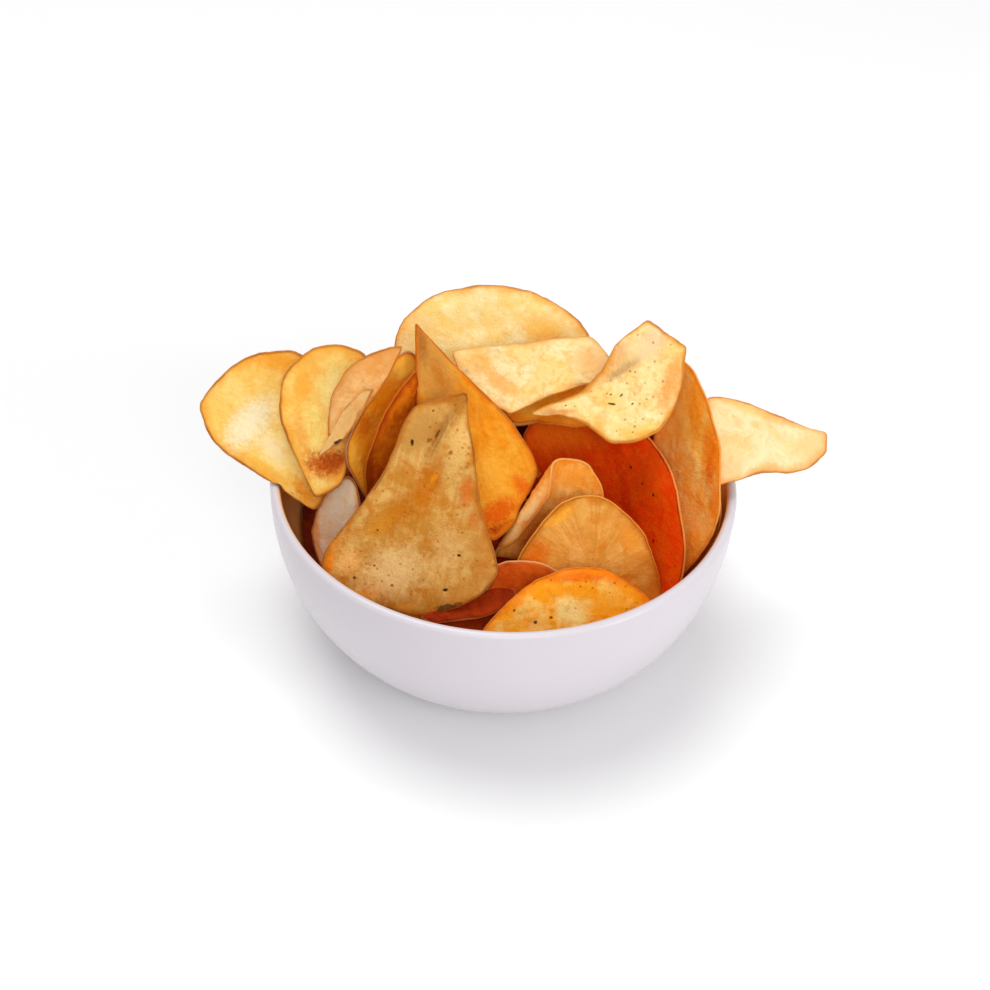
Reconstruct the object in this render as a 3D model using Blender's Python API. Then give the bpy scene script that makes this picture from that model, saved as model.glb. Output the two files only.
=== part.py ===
"""A round white bowl heaped with thin fried vegetable crisps.

The bowl is turned about Z and stands on z = 0. The heap is one solid: a low
core inside the bowl with every crisp fused on. A crisp is a thin slice with
an outline in its own plane. It is placed by its centre and the way it faces,
and bent by a bow.
"""
import math

import bmesh
import bpy
from mathutils import Vector

MM = 0.001

# Bowl, in millimetres
RIM_RADIUS = 70.0
HEIGHT = 61.0
FOOT_RADIUS = 21.0
FULLNESS = 2.15
WALL = 3.0
LIP_STEPS = 5
SIDE_STEPS = 10
BOWL_SEGMENTS = 48

# Heap, in millimetres
CRISP_THICKNESS = 1.6
WALL_GAP = 1.0
CORE_GAP = 1.5
CORE_FRONT_HEIGHT = 31.0
CORE_BACK_HEIGHT = 47.0
CORE_SLOPE_START = -24.0
CORE_SLOPE_END = 26.0
CORE_SEGMENTS = 24
WELD_DISTANCE = 0.004
BOW_SPAN = 30.0
OUTLINE_POINTS = 18
RINGS = (0.55, 1.0)
BACK_OUTLINE_POINTS = 12
BACK_RINGS = (0.6, 1.0)


def smooth_step(value):
    value = min(max(value, 0.0), 1.0)
    return value * value * (3.0 - 2.0 * value)


def oval(length, width, spin=0.0, egg=0.0):
    """Egg-shaped outline: its long axis turned by spin, fuller at that end."""
    def points(count):
        found = []
        for step in range(count):
            angle = 2.0 * math.pi * step / count
            from_axis = angle - math.radians(spin)
            radius = 0.5 * length * width / math.hypot(
                width * math.cos(from_axis), length * math.sin(from_axis))
            radius *= 1.0 + egg * math.cos(from_axis)
            found.append((radius * math.cos(angle), radius * math.sin(angle)))
        return found
    return points


def corners(*marks):
    """Outline through corners (x, y, bulge): each side swells by its bulge."""
    def points(count):
        sides = []
        for mark, following in zip(marks, marks[1:] + marks[:1]):
            start, end = Vector(mark[:2]), Vector(following[:2])
            along = end - start
            outward = Vector((along.y, -along.x)).normalized()
            middle = (start + end) / 2.0 + outward * 2.0 * mark[2]
            sides.append((start, middle, end, along.length + mark[2]))
        total = sum(side[3] for side in sides)
        steps = [max(1, round(count * side[3] / total)) for side in sides]
        found = []
        for (start, middle, end, _), number in zip(sides, steps):
            for step in range(number):
                t = step / number
                at = start * (1 - t) ** 2 + middle * 2 * t * (1 - t) + end * t * t
                found.append((at.x, at.y))
        return found
    return points


# Crisps: name, centre (mm), facing (turn from the front, lift above the
# horizon, degrees), outline (mm), bow (mm of bend at BOW_SPAN across, along
# and on the diagonal)
CRISPS = (
    ("left_outer", (-73, 2, 73), (-12, 38),
     corners((14, 22.5, 1), (0, 23.5, 1.5), (-19.5, 6, 2), (-10, -8.5, 0.5),
             (5, -14, 0), (21, -21, 0.5), (23.5, -8.5, 1), (19.5, 12, 0.5)),
     (2, -1, 2)),
    ("left_middle", (-53, 0, 78), (-12, 36),
     corners((8.5, 20.5, 1), (-5, 20.5, 2), (-14.5, 7.5, 1), (-7, -12, 0),
             (2.5, -23.5, 1), (5, -11, 0), (13, 10.5, 1)),
     (2, -1, 0)),
    ("left_inner", (-40, -2, 88), (-18, 34),
     corners((6.5, 16, 0.5), (-2, 12.5, 1), (-10, 0.5, 1), (-9, -10.5, 1),
             (-3, -15.5, 1), (6.5, -8, 1), (12, 6.5, 1)),
     (2, -1, 0)),
    ("pale_leaf", (-43, -5, 86), (-40, 26),
     corners((7.5, 22, 0), (1, 6.5, 0), (-5, -6, 0), (-8, -18.5, 0),
             (2, -11, 0), (5.5, 5.5, 1)),
     (1, 0, 0)),
    ("long_leaf", (-42, -10, 78), (38, 8),
     corners((21.5, 22.5, 0), (15, 25, 0.5), (4.5, 13, 0), (-6, 2.5, 1),
             (0, -19, 1), (1.5, -8.5, 1), (8.5, 5.5, 0), (13, 10.5, 0),
             (21.5, 18.5, 0)),
     (2, 0, 0)),
    ("dark_leaf", (-31, -12, 81), (42, -2),
     corners((7, 25, 0), (1.5, 19, 0), (-5, 11.5, 0), (-10, -0.5, 0),
             (-11.5, -15.5, 0), (-7, -26, 1), (10, -1, 2)),
     (2, 0, 0)),
    ("low_left", (-46, -15, 48), (-20, 28), oval(37, 20, 88, -0.05),
     (-3, -1, 0)),
    ("front_large", (-23, -30, 67), (-4, 32),
     corners((9.5, 35.5, 1), (-4, 33, 2), (-10, 20.5, 0), (-16.5, 3.5, 1),
             (-28, -12.5, 3), (-15.5, -30, 1), (-2, -30, 1.5),
             (15.5, -22.5, 1.5), (22.5, -12.5, 0), (15, 5.5, 0)),
     (-2, -3, 0)),
    ("peak", (-9, -8, 79), (14, 30),
     corners((-15, 36, 0), (-16, 10.5, 2), (-12, -19.5, 2), (0.5, -28, 3),
             (18.5, -11.5, 1), (12, 3.5, 0), (-1, 20.5, 0), (-11, 33, 0)),
     (-2, 2, 0)),
    ("back_tall", (-4, 23, 87), (4, 36), oval(61, 42, 173), (-2, -2, 0)),
    ("shelf", (11, 11, 89), (-6, 56),
     corners((18.5, 11, 0), (11.5, 14, 2), (-23, 3.5, 1), (-19.5, -9.5, 0),
             (-9.5, -12.5, 0), (-1, -6.5, 0), (4.5, -3.5, 0), (11.5, -1, 0),
             (17.5, -1, 1), (25.5, 7, 1)),
     (-2, 0, 0)),
    ("shelf_lower", (17, 12, 78), (-10, 50),
     corners((11.5, 8, 0), (4.5, 7.5, 0), (-8, 3, 1), (-18, -4.5, 0),
             (-14, -7.5, 0), (-8, -6, 1), (11.5, -4, 1)),
     (-2, 0, 0)),
    ("saddle", (34, 4, 88.5), (-14, 52),
     corners((1, 22, 0), (-5, 11, -1), (-8, 0.5, 0), (-16.5, -5, 0),
             (-25.5, -11, 0), (-24.5, -13, 0), (-18.5, -10, 0),
             (-2, -14, 2.5), (15, 4.5, 0), (13.5, 12.5, 0), (14, 16.5, 0.3)),
     (0, 4, 2)),
    ("deep_orange", (31, 1, 53), (-38, 18), oval(70, 51, 149, -0.11),
     (6, 0, 0)),
    ("right_upright", (53, -2, 65), (-50, 20), oval(63, 27, 115), (3, 0, 0)),
    ("right_behind", (54, 3, 60), (-52, 16), oval(66, 29, 111), (3, 0, 0)),
    ("right_outer", (77, 3, 75), (10, 50),
     corners((19.5, 1.5, 0), (16, 2, 0), (2, 10, 1), (-14.5, 14.5, 1),
             (-19, 4.5, 1), (-19.5, -10.5, 1), (-12.5, -12.5, 0),
             (-4, -10, 0), (5.5, -10, 1), (13.5, -7.5, 1)),
     (-2, -1, 0)),
    ("curled", (18, -14, 57), (6, 22), oval(33, 24, 79), (2, 0, 0)),
    ("curled_edge", (6, -18, 57), (30, 20),
     corners((8, 13, 0), (4, 12, 0), (-5, -3, 0), (-9, -13, 0),
             (-7, -12, 0), (0, -5, 0), (4, 3, 0)),
     (0, 0, 0)),
    ("front_right", (27, -29, 49), (10, 32), oval(48, 41, -61, -0.02),
     (-4, -2, 0)),
    ("front_low", (19, -46, 42.5), (6, 44), oval(47, 29, 193, -0.1),
     (-3, -2, 0)),
    ("under_middle", (11, -33, 38), (4, 32), oval(37, 25, 163), (-2, 0, 0)),
    ("under_front", (-9, -42, 43), (-6, 66), oval(34, 13, 194, -0.14),
     (-1, -1, 0)),
    ("under_peak", (1, -16, 46), (-20, 30),
     corners((4.5, 15.5, 1), (-7.5, 5.5, 2), (-5, -16, 2), (10, -8, 2),
             (11.5, 6.5, 1)),
     (2, 0, 0)),
    ("under_left", (-50, -9, 60), (-24, 32),
     corners((3, 9.5, 1), (-6.5, 4.5, 1), (-7.5, -6, 1), (-1.5, -10, 1),
             (4.5, -3.5, 1)),
     (0, 0, 0)),
)

# Crisps on the far side of the heap, in the same form
BACK_CRISPS = (
    ("back_left", (-40, 31, 59), (214, 36), oval(48, 40, 20, 0.05),
     (-3, -2, 0)),
    ("back_middle", (-12, 46, 60), (188, 44), oval(54, 42, 12), (3, -2, 0)),
    ("back_right", (19, 42, 63), (166, 56), oval(50, 42, -20, 0.08),
     (-4, -2, 0)),
    ("back_side_right", (41, 31, 55), (140, 38), oval(40, 34, 40),
     (-3, -2, 0)),
    ("back_edge", (5, 55, 57), (172, 24), oval(42, 26, 6), (-3, 0, 0)),
    ("back_edge_left", (-33, 43, 56), (216, 20), oval(36, 26, -8),
     (-2, 0, 0)),
    ("back_side_left", (-54, 14, 60), (245, 36), oval(32, 28), (-2, -1, 0)),
    ("side_right", (55, 12, 57), (112, 40), oval(28, 26), (-2, -2, 0)),
    ("back_upper", (3, 40, 76), (178, 55), oval(46, 34, 0, 0.06),
     (-2, -2, 0)),
    ("wedge_far_left", (-58, 11, 65), (78, 6), oval(36, 30, 70), (1, 0, 0)),
    ("wedge_left", (-47, 16, 67), (84, 4), oval(38, 32, 80), (-2, 0, 0)),
    ("wedge_middle_left", (-37, 5, 70), (88, 2), oval(46, 27, 90), (1, 0, 0)),
    ("wedge_centre", (-6, 15, 68), (90, 0), oval(46, 22, 90), (1, 0, 0)),
    ("wedge_right", (41, 16, 78), (72, 4), oval(40, 24, 100), (-1, 0, 0)),
    ("back_upper_left", (-28, 25, 75), (212, 55), oval(38, 32, 30),
     (-3, 0, 0)),
    ("back_upper_right", (34, 28, 70), (140, 58), oval(40, 32, -20, 0.05),
     (2, -2, 0)),
)


def bowl_profile():
    """Half section of the bowl, from the foot's centre out, up and back in."""
    def curve(radius, foot, height, base, steps):
        found = []
        for step in range(steps + 1):
            angle = math.pi / 2.0 * step / steps
            out = math.sin(angle) ** (2.0 / FULLNESS)
            up = 1.0 - math.cos(angle) ** (2.0 / FULLNESS)
            found.append((foot + (radius - foot) * out, base + height * up))
        return found

    lip = WALL / 2.0
    outer = curve(RIM_RADIUS, FOOT_RADIUS, HEIGHT - lip, 0.0, SIDE_STEPS)
    inner = curve(RIM_RADIUS - WALL, FOOT_RADIUS, HEIGHT - lip - WALL, WALL,
                  SIDE_STEPS)
    crest = []
    for step in range(1, LIP_STEPS):
        angle = math.pi * step / LIP_STEPS
        crest.append((RIM_RADIUS - lip + lip * math.cos(angle),
                      HEIGHT - lip + lip * math.sin(angle)))
    return [(0.0, 0.0)] + outer + crest + inner[::-1] + [(0.0, WALL)]


def inner_radius(height):
    """Radius of the bowl's inner wall at a height."""
    top = HEIGHT - WALL / 2.0
    share = min(max((height - WALL) / (top - WALL), 0.0), 1.0)
    angle = math.acos((1.0 - share) ** (FULLNESS / 2.0))
    out = math.sin(angle) ** (2.0 / FULLNESS)
    return FOOT_RADIUS + (RIM_RADIUS - WALL - FOOT_RADIUS) * out


def turned_mesh(name, profile, segments):
    """Closed solid turned about Z from a profile that starts and ends on Z."""
    bm = bmesh.new()
    verts = [bm.verts.new((r * MM, 0.0, z * MM)) for r, z in profile]
    edges = [bm.edges.new(pair) for pair in zip(verts, verts[1:])]
    bmesh.ops.spin(bm, geom=verts + edges, cent=(0, 0, 0), axis=(0, 0, 1),
                   angle=2.0 * math.pi, steps=segments, use_merge=True)
    bmesh.ops.remove_doubles(bm, verts=bm.verts, dist=0.01 * MM)
    bmesh.ops.recalc_face_normals(bm, faces=bm.faces)
    return finished_mesh(name, bm)


def finished_mesh(name, bm):
    mesh = bpy.data.meshes.new(name)
    bm.to_mesh(mesh)
    bm.free()
    return mesh


def bend(x, y, bow):
    """Height of the slice's middle surface above its own plane."""
    across, along, diagonal = bow
    return (across * (x / BOW_SPAN) ** 2 + along * (y / BOW_SPAN) ** 2
            + diagonal * x * y / BOW_SPAN ** 2)


def slope(x, y, bow):
    """Unit normal of the bent slice, in the slice's own axes."""
    across, along, diagonal = bow
    square = BOW_SPAN ** 2
    dx = 2.0 * across * x / square + diagonal * y / square
    dy = 2.0 * along * y / square + diagonal * x / square
    return Vector((-dx, -dy, 1.0)).normalized()


def kept_inside(point):
    """Draws a point in from the bowl's wall, below the rim."""
    reach = math.hypot(point.x, point.y)
    if point.z > HEIGHT + WALL_GAP or reach > RIM_RADIUS + WALL_GAP:
        return point
    limit = inner_radius(min(point.z, HEIGHT)) - WALL_GAP
    if reach <= limit:
        return point
    if reach > RIM_RADIUS - WALL - WALL_GAP and point.z > HEIGHT - WALL:
        return Vector((point.x, point.y, HEIGHT + WALL_GAP))
    return Vector((point.x * limit / reach, point.y * limit / reach, point.z))


def crisp_mesh(name, centre, facing, outline, bow, points, rings):
    """Thin closed slice: two bent faces of rings and a rim between them."""
    turn, lift = (math.radians(angle) for angle in facing)
    normal = Vector((math.sin(turn) * math.cos(lift),
                     -math.cos(turn) * math.cos(lift), math.sin(lift)))
    right = Vector((math.cos(turn), math.sin(turn), 0.0))
    up = normal.cross(right)
    middle = Vector(centre)
    edge = outline(points)
    bm = bmesh.new()
    faces = {}
    for side in (1, -1):
        def place(x, y):
            local = Vector((x, y, bend(x, y, bow)))
            local += slope(x, y, bow) * side * CRISP_THICKNESS / 2.0
            at = middle + right * local.x + up * local.y + normal * local.z
            return bm.verts.new(kept_inside(at) * MM)
        hub = place(0.0, 0.0)
        loops = [[place(ring * x, ring * y) for x, y in edge]
                 for ring in rings]
        faces[side] = loops[-1]
        count = len(edge)
        for step in range(count):
            after = (step + 1) % count
            bm.faces.new((hub, loops[0][step], loops[0][after]))
            for inner, outer in zip(loops, loops[1:]):
                bm.faces.new((inner[step], outer[step], outer[after]))
                bm.faces.new((inner[step], outer[after], inner[after]))
    for step in range(len(edge)):
        after = (step + 1) % len(edge)
        bm.faces.new((faces[1][step], faces[-1][step], faces[-1][after]))
        bm.faces.new((faces[1][step], faces[-1][after], faces[1][after]))
    bmesh.ops.recalc_face_normals(bm, faces=bm.faces)
    return finished_mesh(name, bm)


def core_mesh(name):
    """Body under the crisps: low at the front and rim-high at the back."""
    levels = (0.25, 0.5, 0.75, 1.0)
    bm = bmesh.new()

    def top_height(y):
        share = (y - CORE_SLOPE_START) / (CORE_SLOPE_END - CORE_SLOPE_START)
        return (CORE_FRONT_HEIGHT
                + (CORE_BACK_HEIGHT - CORE_FRONT_HEIGHT) * smooth_step(share))

    floor = WALL + CORE_GAP
    base = bm.verts.new((0.0, 0.0, floor * MM))
    crown = bm.verts.new((0.0, 0.0, top_height(0.0) * MM))
    wall_loops, crown_loops = [], []
    for level in (0.0,) + levels:
        loop = []
        for step in range(CORE_SEGMENTS):
            angle = 2.0 * math.pi * step / CORE_SEGMENTS
            reach = inner_radius(HEIGHT / 2.0) - CORE_GAP
            height = floor + level * (top_height(reach * math.sin(angle)) - floor)
            height = min(height, HEIGHT - 4.0)
            radius = inner_radius(height) - CORE_GAP
            loop.append(bm.verts.new((radius * math.cos(angle) * MM,
                                      radius * math.sin(angle) * MM,
                                      height * MM)))
        wall_loops.append(loop)
    rim = wall_loops[-1]
    for share in (0.75, 0.5, 0.25):
        loop = []
        for vert in rim:
            x, y = vert.co.x * share, vert.co.y * share
            height = max(top_height(y / MM), vert.co.z / MM * share)
            loop.append(bm.verts.new((x, y, height * MM)))
        crown_loops.append(loop)
    rows = wall_loops + crown_loops
    for step in range(CORE_SEGMENTS):
        after = (step + 1) % CORE_SEGMENTS
        bm.faces.new((base, rows[0][after], rows[0][step]))
        bm.faces.new((crown, rows[-1][step], rows[-1][after]))
        for lower, upper in zip(rows, rows[1:]):
            bm.faces.new((lower[step], lower[after], upper[after]))
            bm.faces.new((lower[step], upper[after], upper[step]))
    bmesh.ops.recalc_face_normals(bm, faces=bm.faces)
    return finished_mesh(name, bm)


def largest_body(mesh):
    """Keeps the biggest connected shell and drops sealed hollows and scraps."""
    bm = bmesh.new()
    bm.from_mesh(mesh)
    waiting = set(bm.verts)
    shells = []
    while waiting:
        first = waiting.pop()
        shell, edge_of_search = {first}, [first]
        while edge_of_search:
            for edge in edge_of_search.pop().link_edges:
                for vert in edge.verts:
                    if vert in waiting:
                        waiting.discard(vert)
                        shell.add(vert)
                        edge_of_search.append(vert)
        shells.append(shell)
    shells.sort(key=len)
    for shell in shells[:-1]:
        bmesh.ops.delete(bm, geom=list(shell), context="VERTS")
    bmesh.ops.triangulate(bm, faces=bm.faces)
    bmesh.ops.remove_doubles(bm, verts=bm.verts, dist=WELD_DISTANCE * MM)
    bmesh.ops.dissolve_degenerate(bm, edges=bm.edges, dist=WELD_DISTANCE * MM)
    bmesh.ops.triangulate(bm, faces=bm.faces)
    bm.to_mesh(mesh)
    bm.free()


def fused(body, pieces):
    """Joins the pieces to the body by one union and removes them."""
    collection = bpy.data.collections.new("heap_pieces")
    for piece in pieces:
        collection.objects.link(piece)
    union = body.modifiers.new("union", "BOOLEAN")
    union.operation = "UNION"
    union.operand_type = "COLLECTION"
    union.collection = collection
    union.solver = "MANIFOLD"
    graph = bpy.context.evaluated_depsgraph_get()
    joined = bpy.data.meshes.new_from_object(body.evaluated_get(graph))
    body.modifiers.remove(union)
    for piece in pieces:
        bpy.data.objects.remove(piece)
    bpy.data.collections.remove(collection)
    largest_body(joined)
    body.data = joined


def material(name, colour, roughness):
    made = bpy.data.materials.new(name)
    made.use_nodes = True
    shader = made.node_tree.nodes["Principled BSDF"]
    shader.inputs["Base Color"].default_value = (*colour, 1.0)
    shader.inputs["Roughness"].default_value = roughness
    shader.inputs["Metallic"].default_value = 0.0
    return made


def add(name, mesh):
    made = bpy.data.objects.new(name, mesh)
    bpy.context.scene.collection.objects.link(made)
    return made


def build_bowl():
    bowl = add("bowl", turned_mesh("bowl", bowl_profile(), BOWL_SEGMENTS))
    bowl.data.shade_smooth()
    bowl.data.set_sharp_from_angle(angle=math.radians(40.0))
    bowl.data.materials.append(material("white_glaze", (0.86, 0.84, 0.86), 0.22))
    return bowl


def build_crisps():
    core = add("crisps", core_mesh("crisps"))
    pieces = []
    for name, centre, facing, outline, bow in CRISPS:
        pieces.append(add(name, crisp_mesh(
            name, centre, facing, outline, bow, OUTLINE_POINTS, RINGS)))
    for name, centre, facing, outline, bow in BACK_CRISPS:
        pieces.append(add(name, crisp_mesh(
            name, centre, facing, outline, bow, BACK_OUTLINE_POINTS,
            BACK_RINGS)))
    fused(core, pieces)
    core.data.materials.append(material("fried_crisp", (0.78, 0.42, 0.10), 0.55))
    return core


def main():
    for old in list(bpy.data.objects):
        bpy.data.objects.remove(old)
    build_bowl()
    build_crisps()


main()
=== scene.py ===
"""Looks for a white bowl heaped with fried root-vegetable crisps.

The bowl and every crisp are modelled finely here in millimetres, in the same
places as the solids, and coloured by procedural materials.
"""
import math

import bpy
import numpy as np
from mathutils import Matrix, Vector, noise


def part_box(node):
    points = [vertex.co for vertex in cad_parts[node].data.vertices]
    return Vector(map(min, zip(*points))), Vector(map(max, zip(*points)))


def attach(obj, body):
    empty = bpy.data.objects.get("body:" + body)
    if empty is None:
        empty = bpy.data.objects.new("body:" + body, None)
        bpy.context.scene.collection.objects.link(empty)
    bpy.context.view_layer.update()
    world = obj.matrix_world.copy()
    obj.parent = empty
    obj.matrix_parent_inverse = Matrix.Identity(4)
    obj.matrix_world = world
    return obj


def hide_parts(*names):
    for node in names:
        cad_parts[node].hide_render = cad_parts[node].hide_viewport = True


MM = 0.001

# Bowl, in millimetres
RIM_RADIUS = 70.0
HEIGHT = 61.0
FOOT_RADIUS = 21.0
FULLNESS = 2.15
WALL = 3.0
BOWL_SEGMENTS = 192
SIDE_STEPS = 48
LIP_STEPS = 14

# Painted orange bounce light from the crisps on the bowl's inner wall, in millimetres and shares:
# strongest at its sides
BOUNCE_DROP = 0.15
BOUNCE_FADE = 0.6
BOUNCE_LEAST = 0.22
BOUNCE_FLOOR = 0.5

# Crisps, in millimetres
THICKNESS = 1.3
EDGE_THICKNESS = 0.9
WALL_GAP = 0.8
BOX_GAP = 0.1
BOW_SPAN = 30.0
OUTLINE_POINTS = 132
RING_COUNT = 26
FAR_POINTS = 84
FAR_RINGS = 16

# Camera: the rim's centre is seen at this pixel of the 990 px square frame
FRAME_PIXELS = 990.0
RIM_PIXEL = (504.2, 471.8)
PIXELS_PER_MM = 3.325
CAMERA_DISTANCE = 520.0
CAMERA_ELEVATION = 39.5
CAMERA_ROLL = 2.6
SENSOR_WIDTH = 36.0

# Studio, in metres
FLOOR_SIDE = 12.0
FLOOR_DROP = 0.0001
SURROUND_LIGHT = 0.46
LIGHT_TARGET = (0.0, 0.0, 0.06)

# Outputs of the attribute node
AS_VECTOR = 1
AS_VALUE = 2


def srgb(red, green, blue, gain=1.0):
    """Linear colour from display values between 0 and 255, brightened by gain: painted light that makes
    up for the shade the crisps get deep in the heap.
    """
    def linear(value):
        value = value / 255.0
        return (value / 12.92 if value <= 0.04045 else ((value + 0.055) / 1.055) ** 2.4)
    colour = [linear(value) for value in (red, green, blue)]
    gain = min(gain, 0.97 / max(colour))
    return (*(value * gain for value in colour), 1.0)


# Outlines

def oval(length, width, spin=0.0, egg=0.0):
    """Egg-shaped outline: its long axis turned by spin, fuller at that end."""
    def points(count):
        angle = np.linspace(0.0, 2.0 * math.pi, count, endpoint=False)
        from_axis = angle - math.radians(spin)
        radius = 0.5 * length * width / np.hypot(width * np.cos(from_axis), length * np.sin(from_axis))
        radius = radius * (1.0 + egg * np.cos(from_axis))
        return np.stack([radius * np.cos(angle), radius * np.sin(angle)], 1)
    return points


def corners(*marks, rounding=3):
    """Outline through corners (x, y, bulge): each side swells by its bulge."""
    def points(count):
        sides = []
        for mark, following in zip(marks, marks[1:] + marks[:1]):
            start, end = np.array(mark[:2], float), np.array(following[:2], float)
            along = end - start
            length = np.hypot(*along)
            outward = np.array([along[1], -along[0]]) / length
            middle = (start + end) / 2.0 + outward * 2.0 * mark[2]
            sides.append((start, middle, end, length + mark[2]))
        total = sum(side[3] for side in sides)
        found = []
        for start, middle, end, length in sides:
            number = max(2, round(count * length / total))
            t = np.linspace(0.0, 1.0, number, endpoint=False)[:, None]
            found.append(start * (1 - t) ** 2 + middle * 2 * t * (1 - t) + end * t * t)
        edge = np.concatenate(found)
        for _ in range(rounding):
            edge = (edge * 2.0 + np.roll(edge, 1, 0) + np.roll(edge, -1, 0)) / 4.0
        return edge
    return points


# Shape of the bowl

def bowl_profile():
    """Half section of the bowl, from the foot's centre out, up and back in."""
    def curve(radius, foot, height, base):
        found = []
        for step in range(SIDE_STEPS + 1):
            angle = math.pi / 2.0 * step / SIDE_STEPS
            out = math.sin(angle) ** (2.0 / FULLNESS)
            up = 1.0 - math.cos(angle) ** (2.0 / FULLNESS)
            found.append((foot + (radius - foot) * out, base + height * up))
        return found

    lip = WALL / 2.0
    outer = curve(RIM_RADIUS, FOOT_RADIUS, HEIGHT - lip, 0.0)
    inner = curve(RIM_RADIUS - WALL, FOOT_RADIUS, HEIGHT - lip - WALL, WALL)
    crest = []
    for step in range(1, LIP_STEPS):
        angle = math.pi * step / LIP_STEPS
        crest.append((RIM_RADIUS - lip + lip * math.cos(angle),
                      HEIGHT - lip + lip * math.sin(angle) - 0.08))
    return [(FOOT_RADIUS * 0.5, 0.0)] + outer + crest + inner[::-1]


def inner_radius(height):
    """Radius of the bowl's inner wall at each height."""
    top = HEIGHT - WALL / 2.0
    share = np.clip((height - WALL) / (top - WALL), 0.0, 1.0)
    angle = np.arccos((1.0 - share) ** (FULLNESS / 2.0))
    out = np.sin(angle) ** (2.0 / FULLNESS)
    return FOOT_RADIUS + (RIM_RADIUS - WALL - FOOT_RADIUS) * out


# Meshes

def mesh_object(name, points, faces, attributes=None):
    """New object from millimetre points, with smooth faces."""
    mesh = bpy.data.meshes.new(name)
    mesh.from_pydata((np.asarray(points) * MM).tolist(), [], faces)
    mesh.update()
    mesh.polygons.foreach_set("use_smooth", [True] * len(mesh.polygons))
    for key, values in (attributes or {}).items():
        values = np.asarray(values, dtype=np.float32)
        kind = "FLOAT_VECTOR" if values.ndim == 2 else "FLOAT"
        layer = mesh.attributes.new(key, kind, "POINT")
        layer.data.foreach_set("vector" if values.ndim == 2 else "value", values.ravel())
    made = bpy.data.objects.new(name, mesh)
    bpy.context.scene.collection.objects.link(made)
    return made


def keep_clear(points):
    """Draws points in from the bowl's wall and into the part's box."""
    reach = np.hypot(points[:, 0], points[:, 1])
    height = points[:, 2]
    near = (height < HEIGHT + WALL_GAP) & (reach < RIM_RADIUS + WALL_GAP)
    limit = inner_radius(np.minimum(height, HEIGHT)) - WALL_GAP
    over_lip = near & (reach > RIM_RADIUS - WALL - WALL_GAP) & (height > HEIGHT - WALL)
    pressed = near & ~over_lip & (reach > limit)
    shrink = np.where(pressed, limit / np.maximum(reach, 1e-6), 1.0)
    points[:, 0] *= shrink
    points[:, 1] *= shrink
    points[:, 2] = np.where(over_lip, HEIGHT + WALL_GAP, height)
    low = np.array(HEAP_BOX[0]) / MM + BOX_GAP
    high = np.array(HEAP_BOX[1]) / MM - BOX_GAP
    return np.clip(points, low, high)


def rough(points, scale, seed, octaves=3):
    """Smooth noise at flat points, between about -1 and 1."""
    return np.array([noise.fractal(Vector((x * scale, y * scale, seed)),
                                   1.0, 2.0, octaves) for x, y in points])


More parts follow.
